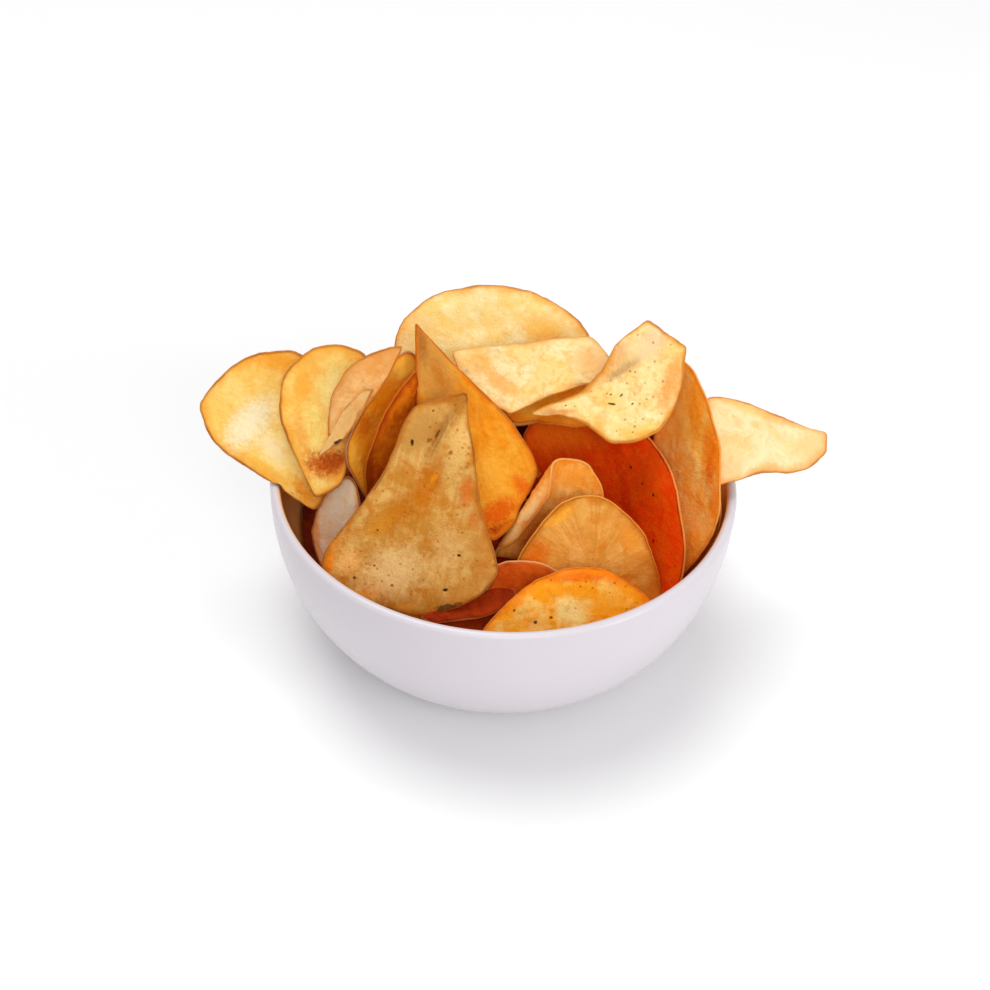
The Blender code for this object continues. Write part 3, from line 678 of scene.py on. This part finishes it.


# Colours of each crisp as display values, with patches and spots given as
# (x, y, long, wide, turn, colour, strength) on the slice in millimetres
# Some patches and spots are painted shade or painted light, as marked below
LOOKS = {
    "left_outer": dict(
        pale=(251, 218, 134), warm=(249, 202, 104), edge=(240, 160, 50), skin=(150, 72, 24),
        edge_width=3.5, mottle=0.3, warm_share=0.55, mottle_colour=(248, 190, 80), line=(0.5, 0.9),
        patches=(
            (-3, 0, 11, 6, 55, (246, 230, 188), 1), (5, -6, 7, 4, -40, (248, 224, 170), 0.8),
            (3, 19.5, 12, 4, 0, (246, 160, 40), 1), (17, -17, 7, 3.4, -40, (232, 146, 34), 1),
            (4, -12.5, 10, 2, -22, (240, 172, 60), 0.8))),
    "left_middle": dict(
        pale=(254, 222, 126), warm=(250, 196, 96), edge=(246, 164, 50), skin=(150, 72, 22),
        edge_width=4.0, mottle=0.25, line=(0.5, 0.9),
        patches=(
            (-8, 8, 4, 9, 0, (250, 170, 56), 0.9), (-6, -6, 2.5, 8, 25, (240, 150, 50), 0.7),
            (2, 8, 5, 9, 10, (254, 226, 144), 0.8), (-2, 18, 7, 3, 10, (254, 214, 120), 0.8),
            # The patches at (3.5, -13) and (5.5, -11.8) are a painted shadow band cast across the lower
            # part by the crisps in front
            (5, 20, 5, 2, 0, (252, 190, 80), 0.5), (3.5, -13, 11, 5.5, 10, (218, 122, 34), 1),
            (5.5, -11.8, 10, 4, 10, (178, 70, 8), 1))),
    "left_inner": dict(
        pale=(240, 190, 124), warm=(230, 166, 96), edge=(214, 138, 62), skin=(160, 84, 28),
        grain=(60, 0.3), edge_width=3.0, gain=1.05, mottle=0.25),
    "pale_leaf": dict(
        pale=(242, 198, 132), warm=(232, 180, 110), edge=(206, 140, 70), skin=(140, 84, 44),
        edge_width=1.0, gain=1.05, mottle=0.2,
        spots=(
            (-1.4, -11.4, 1.5, 0.9, 40, (60, 28, 10), 0.9),
            (-2.6, -12.4, 0.8, 0.6, 20, (70, 34, 12), 0.9))),
    "long_leaf": dict(
        pale=(250, 176, 50), warm=(244, 148, 18), edge=(206, 98, 6), skin=(132, 78, 44),
        rim=(168, 118, 84), edge_width=2.0, gain=1.5, line=(0.4, 0.9),
        patches=(
            # The patch at (16, 19) is painted light on the lit top; the one at (1.8, 5) is a painted
            # shadow band across the middle
            (16, 19, 7, 6, 40, (253, 186, 66), 1), (1.8, 5, 5, 3.5, 45, (176, 80, 6), 0.8),
            (-3, -4, 9, 1.6, 100, (250, 176, 60), 0.8), (1, -14, 5, 1.6, 95, (240, 140, 12), 0.8))),
    "dark_leaf": dict(
        pale=(206, 106, 16), warm=(184, 82, 6), edge=(150, 54, 2), skin=(110, 40, 4), rim=(190, 96, 20),
        gain=1.3, line=(0.5, 0.9),
        patches=(
            # The patch at (-11, -6) is painted shade along the left edge, under the crisp that overlaps
            # it
            (-11, -6, 10, 1.6, 92, (120, 40, 2), 0.8),)),
    "low_left": dict(
        pale=(255, 240, 214), warm=(254, 230, 192), edge=(232, 160, 84), skin=(130, 66, 24),
        rim=(190, 116, 56), grain=(90, 0.15), gain=1.45, mottle=0.2, mottle_colour=(240, 184, 116),
        edge_width=3.0, line=(0.5, 0.9), toast=0.2, fibre=0.1,
        patches=(
            # The patch at (3.4, 9) is painted shade on the upper right, which turns away into the
            # shadow of the crisp in front
            (-9, -6, 10, 1.8, 100, (214, 134, 60), 0.7), (3.4, 9, 6, 1.6, 80, (190, 90, 24), 0.8))),
    "front_large": dict(
        pale=(222, 176, 98), warm=(202, 140, 52), edge=(190, 112, 28), skin=(120, 62, 16),
        rim=(190, 116, 50), edge_width=2.5, mottle=0.35, fibre=0.2, mottle_colour=(196, 114, 18),
        cloud=0.13, grain=(82, 0.4), flecks=0.2,
        patches=(
            (1, 9, 12, 4.5, 65, (196, 108, 6), 1), (3, 12.5, 3, 1, 62, (246, 150, 24), 0.7),
            (-7, 1, 9, 4, 50, (192, 112, 12), 1), (-12, -3, 6, 3, 40, (214, 146, 44), 0.7),
            (12.5, 9, 5.5, 2.6, 85, (212, 108, 32), 0.95), (15, 1, 4, 2.2, 90, (206, 112, 36), 0.8),
            # The patch at (-2, 25) is painted shade left of the fold, the one at (9.4, 21) a painted
            # highlight on the lit flap, and the one at (3.6, 25.4) a painted shadow line along the fold
            (12.5, 20, 3, 2, 90, (222, 140, 40), 0.7), (-2, 25, 9, 5, 64, (196, 140, 66), 1),
            (9.4, 21, 12, 4, 76, (232, 184, 104), 1), (3.6, 25.4, 9, 1.5, 66, (180, 122, 54), 0.9),
            (3, 34.2, 8, 1.3, 14, (160, 92, 32), 0.8), (-8.6, 22, 9, 1.6, 70, (176, 106, 36), 0.8),
            (-26.5, -18, 7, 2, 72, (244, 138, 16), 1), (-17, -25, 11, 2.4, 24, (246, 150, 24), 1),
            (-25, -10, 3, 1.6, 50, (232, 128, 24), 0.8), (-4, -27, 6, 2, 10, (240, 170, 60), 0.7),
            (-7, -16, 12, 8, 30, (236, 198, 132), 0.85), (-20, -14, 5, 4, 60, (248, 192, 110), 0.8),
            (8, -8, 8, 5, 100, (236, 190, 120), 0.6), (18, -10, 9, 3, 105, (202, 134, 56), 0.8),
            (13, -20, 8, 2.5, 35, (206, 140, 60), 0.7)),
        season=0.5,
        spots=(
            # The first spot is a painted shadow line along the fold
            (4.9, 25.2, 7.6, 0.25, 66, (150, 92, 36), 0.5),
            (9.1, -25.8, 3.2, 1.5, 12, (66, 42, 14), 0.8), (12.2, -24.4, 1.6, 1, 30, (96, 58, 20), 0.7),
            (-4.3, 21.5, 0.5, 1, 10, (44, 20, 8), 0.95), (2.6, 24.4, 1.5, 0.5, 70, (110, 58, 16), 0.8),
            (0.6, 22.6, 0.9, 0.4, 40, (130, 70, 20), 0.7), (7, 20, 0.7, 0.5, 70, (170, 70, 12), 0.8),
            (11.5, -9.5, 0.5, 0.4, 0, (50, 24, 8), 0.95), (8.4, -20, 0.7, 0.5, 0, (50, 26, 8), 0.95),
            (-18, -19, 0.5, 0.4, 0, (60, 28, 8), 0.9), (-7, -20, 0.4, 0.4, 0, (84, 40, 12), 0.8))),
    "peak": dict(
        pale=(244, 172, 52), warm=(238, 148, 22), edge=(226, 116, 8), rim=(206, 112, 40),
        edge_width=2.5, grain=(108, 0.3),
        patches=(
            (-11.5, 24, 20, 9, 104, (206, 142, 62), 1), (-14, 32, 9, 3, 94, (172, 104, 40), 0.9),
            (5, -10, 8, 5, 110, (252, 180, 60), 0.8), (13, -15, 5, 2.6, 120, (226, 88, 2), 0.8),
            # The patches at (4.5, -22) and (4.5, -28.5) darken the lower tip as painted shade
            (4.5, -22, 9, 4.5, 20, (228, 96, 2), 1), (4.5, -28.5, 9, 4.4, 10, (168, 46, 2), 1),
            (-4, -14, 8, 3, 100, (250, 176, 54), 0.7), (-9, 20, 6, 2, 108, (196, 110, 24), 0.7))),
    "back_tall": dict(
        pale=(255, 234, 172), warm=(255, 216, 128), edge=(250, 180, 84), rim=(206, 130, 60),
        skin=(190, 108, 44), edge_width=2.5, mottle=0.25, mottle_colour=(254, 200, 96), toast=0.25,
        patches=(
            (14, 8, 10, 5, -20, (254, 190, 84), 0.8), (18, 3, 9, 4, -40, (250, 180, 76), 0.7),
            (-24, 8, 7, 6, 60, (242, 196, 120), 0.7), (-4, 10, 9, 2.6, 5, (252, 206, 116), 0.5))),
    "shelf": dict(
        pale=(254, 232, 176), warm=(253, 216, 140), edge=(250, 186, 100), skin=(214, 132, 52),
        rim=(236, 160, 76), edge_width=2.5, mottle=0.5, mottle_colour=(250, 184, 84), line=(0.0, 0.4),
        toast=0.35,
        patches=(
            (-12, -4, 7, 3, -30, (250, 176, 84), 0.8), (13, 6, 7, 5, 0, (252, 190, 118), 0.8),
            (-20, 2, 5, 5, 0, (248, 170, 72), 0.6))),
    "shelf_lower": dict(
        pale=(253, 194, 66), warm=(250, 166, 36), edge=(236, 120, 12), gain=1.5),
    "saddle": dict(
        pale=(254, 232, 168), warm=(252, 216, 136), edge=(240, 162, 60), skin=(170, 92, 22),
        rim=(220, 140, 50), edge_width=2.0, mottle=0.3, season=0.15, flecks=0.12, fibre=0.15,
        toast=0.35,
        patches=(
            # The patches at (-2.4, 7.6) and (-4, 11) are painted shade in the valley of the fold and on
            # the wall above it
            (-2.4, 7.6, 8, 1.8, 45, (206, 160, 100), 0.9), (-4, 11, 6, 2.6, 55, (240, 178, 112), 0.9),
            (4, 16.5, 8, 4.5, 50, (240, 208, 158), 1), (13, 6, 10, 3.6, 84, (242, 166, 84), 1),
            (-2, -4, 7, 3, -20, (246, 196, 96), 0.5), (6, -10, 8, 3, 20, (250, 196, 84), 0.6),
            (-18, -9, 7, 1.4, 12, (226, 140, 60), 0.8)),
        spots=(
            (-2.8, -3.4, 1.1, 0.4, 10, (60, 34, 10), 0.9),
            (-0.8, -0.2, 0.6, 0.3, 60, (60, 34, 10), 0.8),
            (-3.8, -0.6, 0.5, 0.3, 50, (70, 36, 10), 0.8), (3, -2, 0.4, 0.3, 50, (70, 36, 10), 0.8))),
    "deep_orange": dict(
        pale=(222, 72, 2), warm=(206, 52, 0), edge=(196, 58, 2), rim=(214, 128, 60), skin=(110, 40, 6),
        gain=1.7, mottle_colour=(214, 90, 2), edge_width=2.0, line=(0.3, 0.9),
        patches=(
            (-22, 12, 12, 8, 20, (196, 92, 10), 0.9), (-14, 14, 10, 4, 10, (216, 100, 12), 0.7),
            (8, 2, 14, 3, 120, (172, 34, 0), 0.6), (26, -4, 9, 3, 100, (206, 72, 4), 0.6)),
        spots=(
            (17, 9, 0.5, 0.4, -40, (80, 20, 4), 0.9), (22, -4, 0.6, 0.4, -40, (80, 20, 4), 0.8),
            (12, 10, 0.4, 0.3, 0, (80, 20, 4), 0.8), (6, 12.5, 0.5, 0.4, -40, (80, 20, 4), 0.8))),
    "right_upright": dict(
        pale=(244, 194, 104), warm=(232, 164, 62), edge=(226, 126, 20), skin=(170, 84, 16),
        rim=(240, 160, 76), edge_width=2.5, grain=(108, 0.4), gain=1.25, mottle=0.3,
        patches=(
            (-4, 22, 11, 3.5, 115, (234, 134, 14), 0.9), (8.6, 10, 10, 3.4, 112, (206, 86, 0), 1),
            (15, 0, 9, 2.2, 104, (222, 112, 10), 0.8), (5, 14, 7, 2.4, 118, (222, 116, 10), 0.8),
            (14, -18, 9, 2.6, 95, (230, 140, 30), 0.6))),
    "right_behind": dict(
        pale=(226, 150, 66), warm=(206, 118, 34), edge=(190, 92, 20), skin=(150, 70, 20),
        rim=(240, 172, 96), grain=(110, 0.4), gain=1.3),
    "right_outer": dict(
        pale=(252, 230, 180), warm=(251, 216, 152), edge=(240, 174, 92), skin=(180, 104, 40),
        edge_width=4.0, mottle=0.15, toast=0.25,
        patches=(
            (-4, 10, 12, 2, -28, (252, 206, 120), 0.8), (14, -1, 7, 5, 60, (250, 204, 138), 0.9),
            (-12, -8, 6, 4, 20, (250, 204, 144), 0.8))),
    "curled": dict(
        pale=(240, 176, 92), warm=(230, 152, 60), edge=(222, 118, 16), rim=(244, 176, 96),
        skin=(176, 96, 30), grain=(79, 0.35), edge_width=2.0, gain=1.15, line=(0.0, 0.5),
        patches=(
            (-8, -6, 10, 5, 50, (196, 84, 6), 0.9), (2, 12, 5, 3, 20, (236, 146, 44), 0.7),
            (-17, 6, 16, 4.5, 60, (250, 200, 130), 1))),
    "front_right": dict(
        pale=(222, 162, 78), warm=(206, 128, 40), edge=(190, 104, 16), skin=(130, 66, 14),
        rim=(240, 160, 66), edge_width=3.0, fibre=0.5, gain=1.12, mottle=0.4,
        mottle_colour=(214, 128, 30),
        patches=(
            (3, -5, 13, 5.5, -20, (240, 118, 4), 1), (2, -14, 12, 6, -30, (240, 104, 0), 1),
            (-17, 4, 8, 4.5, 60, (212, 98, 4), 1), (-9, 17, 6, 2.4, 30, (248, 170, 46), 0.8),
            (12, 8, 7, 3, 120, (232, 150, 50), 0.6), (-4, 5, 6, 3, 70, (226, 164, 84), 0.6))),
    "front_low": dict(
        pale=(254, 204, 104), warm=(253, 168, 30), edge=(242, 124, 6), skin=(170, 80, 14), cloud=0.15,
        warm_share=0.6, mottle=0.5, mottle_colour=(254, 156, 14), season=0.2, edge_width=4.0, gain=1.15,
        fibre=0.15,
        patches=(
            (2, 4.4, 6, 4.4, -20, (254, 222, 140), 1), (7, 6, 3, 2.4, 10, (254, 204, 110), 0.7),
            (-8, 0, 5, 3, 40, (253, 200, 110), 0.8), (5, 14, 12, 1.8, -2, (224, 96, 4), 0.9),
            (15, 6, 9, 5, 10, (254, 164, 24), 0.8)),
        spots=(
            (-8, 1.4, 0.5, 0.5, 0, (70, 30, 8), 0.9), (-3.6, 2.6, 0.5, 0.4, 0, (90, 40, 8), 0.9),
            (-14, 5, 0.4, 0.4, 0, (90, 40, 8), 0.8))),
    # Its dark orange is painted shade: the face lies in the shadow of the crisps above
    "under_middle": dict(
        pale=(206, 88, 14), warm=(190, 68, 6), edge=(170, 52, 4), mottle_colour=(206, 92, 12),
        rim=(246, 170, 104), skin=(206, 120, 60), edge_width=1.5),
    "under_front": dict(
        pale=(170, 52, 6), warm=(138, 32, 3), edge=(130, 32, 3), mottle_colour=(176, 66, 6),
        rim=(206, 116, 66), edge_width=1.5),
    # Its dark red is painted shade, where the crisps round it leave a deep shadow
    "under_peak": dict(
        pale=(180, 46, 3), warm=(150, 34, 3), edge=(136, 32, 3), mottle_colour=(186, 70, 6)),
    # Its dark orange is painted shade, for the shaded gap between the crisps at the left
    "under_left": dict(
        pale=(200, 96, 14), warm=(176, 72, 6), edge=(156, 52, 4)),
    "deep_front": dict(
        pale=(176, 62, 8), warm=(156, 44, 4), edge=(140, 38, 4), mottle_colour=(186, 72, 6)),
    "wedge_right": dict(
        pale=(228, 146, 54), warm=(216, 122, 28), edge=(196, 88, 12), gain=1.5),
}

# Looks that the crisps without one of their own share
COMMON_LOOKS = (
    dict(pale=(248, 214, 134), warm=(244, 184, 86), edge=(226, 136, 36)),
    dict(pale=(236, 166, 72), warm=(220, 132, 30), edge=(206, 100, 14),
         fibre=0.4),
    dict(pale=(238, 194, 124), warm=(222, 158, 82), edge=(204, 118, 36),
         season=0.5),
    dict(pale=(222, 118, 30), warm=(204, 88, 14), edge=(176, 62, 8),
         mottle=0.2, mottle_colour=(228, 136, 36), glow=0.3),
)


def add_bowl():
    points, faces, inside = [], [], []
    profile = bowl_profile()
    crest = SIDE_STEPS + LIP_STEPS // 2
    for step in range(BOWL_SEGMENTS):
        angle = 2.0 * math.pi * step / BOWL_SEGMENTS
        for row, (radius, height) in enumerate(profile):
            # Share of painted bounce light from the crisps: inner wall only, strongest at the sides
            below_lip = min(max((HEIGHT - BOUNCE_DROP - height) / BOUNCE_FADE, 0.0), 1.0)
            sideways = abs(math.cos(angle)) ** 3
            bounce_share = BOUNCE_LEAST + (1.0 - BOUNCE_LEAST) * sideways
            inside.append(below_lip * bounce_share if row > crest else 0.0)
            points.append((radius * math.cos(angle), radius * math.sin(angle), height))
    rows = len(profile)
    for step in range(BOWL_SEGMENTS):
        here, after = step * rows, (step + 1) % BOWL_SEGMENTS * rows
        for row in range(rows - 1):
            faces.append((here + row, after + row, after + row + 1, here + row + 1))
    for row, height in ((0, 0.0), (rows - 1, WALL)):
        points.append((0.0, 0.0, height))
        inside.append(0.0 if row == 0 else BOUNCE_FLOOR)
        hub = len(points) - 1
        for step in range(BOWL_SEGMENTS):
            here = step * rows + row
            after = (step + 1) % BOWL_SEGMENTS * rows + row
            faces.append((hub, after, here) if row == 0 else (hub, here, after))
    bowl = mesh_object("bowl_glazed", points, faces, {"inside": inside})
    bowl.data.materials.append(glaze_material())
    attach(bowl, "root")
    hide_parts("bowl")


def add_core():
    """Dark lumpy filler deep in the bowl, below every crisp that shows, coloured as painted deep shade.
    """
    rows, count, roughness = 12, 72, 0.70
    front_top, back_top = 27.0, 42.0
    slope_start, slope_length = -24.0, 50.0
    bottom = WALL + 1.0
    points, faces = [(0.0, 0.0, bottom)], []

    def top_height(y):
        share = min(max((y - slope_start) / slope_length, 0.0), 1.0)
        return front_top + (back_top - front_top) * share ** 2 * (3.0 - 2.0 * share)

    sides = [(1.0, level / rows) for level in range(rows + 1)]
    crown = [(1.0 - step / rows, 1.0) for step in range(1, rows)]
    for share, level in sides + crown:
        for step in range(count):
            angle = 2.0 * math.pi * step / count
            reach = float(inner_radius(30.0)) - 1.5
            top = top_height(reach * share * math.sin(angle))
            height = bottom + level * (top - bottom)
            radius = (float(inner_radius(height)) - 1.2) * share
            x, y = radius * math.cos(angle), radius * math.sin(angle)
            if level == 1.0:
                height += roughness * noise.fractal(Vector((x * 0.2, y * 0.2, 3.0)), 1.0, 2.0, 3)
            points.append((x, y, height))
    total = len(sides) + len(crown)
    points.append((0.0, 0.0, top_height(0.0)))
    for step in range(count):
        after = (step + 1) % count
        faces.append((0, 1 + after, 1 + step))
        for row in range(total - 1):
            low, high = 1 + row * count, 1 + (row + 1) * count
            faces.append((low + step, low + after, high + after, high + step))
        last = 1 + (total - 1) * count
        faces.append((last + step, last + after, len(points) - 1))
    core = mesh_object("shaded_heap_core", points, faces)
    core.data.materials.append(core_material())
    return core


def add_light(name, place, size, power):
    data = bpy.data.lights.new(name, "AREA")
    data.shape = "DISK"
    data.size = size
    data.energy = power
    light = bpy.data.objects.new(name, data)
    light.location = place
    away = Vector(place) - Vector(LIGHT_TARGET)
    light.rotation_euler = away.to_track_quat("Z", "Y").to_euler()
    bpy.context.scene.collection.objects.link(light)


def add_studio():
    mesh = bpy.data.meshes.new("floor")
    mesh.from_pydata([(x * FLOOR_SIDE, y * FLOOR_SIDE, -FLOOR_DROP)
                      for x, y in ((-1, -1), (1, -1), (1, 1), (-1, 1))], [],
                     [(0, 1, 2, 3)])
    floor = bpy.data.objects.new("floor", mesh)
    bpy.context.scene.collection.objects.link(floor)
    floor.data.materials.append(floor_material())
    world = bpy.data.worlds.new("studio")
    world.use_nodes = True
    background = world.node_tree.nodes["Background"]
    background.inputs["Color"].default_value = (1.0, 1.0, 1.0, 1.0)
    background.inputs["Strength"].default_value = SURROUND_LIGHT
    bpy.context.scene.world = world
    add_light("key", (-0.40, 0.34, 2.40), 1.6, 33.0)
    add_light("fill", (1.40, -0.95, 0.60), 0.9, 10.0)
    add_light("front", (0.12, -1.18, 0.98), 0.9, 6.5)


def add_camera():
    raise_angle = math.radians(CAMERA_ELEVATION)
    roll = math.radians(CAMERA_ROLL)
    back = Vector((0.0, -math.cos(raise_angle), math.sin(raise_angle)))
    up = Vector((0.0, math.sin(raise_angle), math.cos(raise_angle)))
    right = Vector((1.0, 0.0, 0.0))
    film_right = right * math.cos(roll) + up * math.sin(roll)
    film_up = up * math.cos(roll) - right * math.sin(roll)
    data = bpy.data.cameras.new("camera")
    data.sensor_width = SENSOR_WIDTH
    data.lens = PIXELS_PER_MM * CAMERA_DISTANCE * SENSOR_WIDTH / FRAME_PIXELS
    data.shift_x = (FRAME_PIXELS / 2.0 - RIM_PIXEL[0]) / FRAME_PIXELS
    data.shift_y = (RIM_PIXEL[1] - FRAME_PIXELS / 2.0) / FRAME_PIXELS
    data.clip_start = 0.01
    camera = bpy.data.objects.new("camera", data)
    place = Vector((0.0, 0.0, HEIGHT * MM)) + back * CAMERA_DISTANCE * MM
    turned = Matrix((film_right, film_up, back)).transposed().to_4x4()
    camera.matrix_world = Matrix.Translation(place) @ turned
    bpy.context.scene.collection.objects.link(camera)
    bpy.context.scene.camera = camera


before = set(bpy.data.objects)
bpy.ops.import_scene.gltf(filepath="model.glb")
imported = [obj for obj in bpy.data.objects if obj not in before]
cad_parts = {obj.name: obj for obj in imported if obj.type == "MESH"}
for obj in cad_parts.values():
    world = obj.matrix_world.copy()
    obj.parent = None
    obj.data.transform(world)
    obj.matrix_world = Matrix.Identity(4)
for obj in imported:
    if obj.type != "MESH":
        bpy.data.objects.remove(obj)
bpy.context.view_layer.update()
HEAP_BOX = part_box("crisps")

add_bowl()
heap = [add_core()]
shared = [crisp_material(f"common_crisp_{number}", **look) for number, look in enumerate(COMMON_LOOKS)]
for number, crisp in enumerate(shown_crisps() + far_crisps()):
    made = crisp.build()
    if crisp.name in LOOKS:
        surface = crisp_material(crisp.name, **LOOKS[crisp.name])
    else:
        surface = shared[number % len(shared)]
    made.data.materials.append(surface)
    heap.append(made)
for piece in heap:
    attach(piece, "root")
    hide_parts("crisps")

add_studio()
add_camera()
bpy.context.scene.view_settings.view_transform = "Standard"
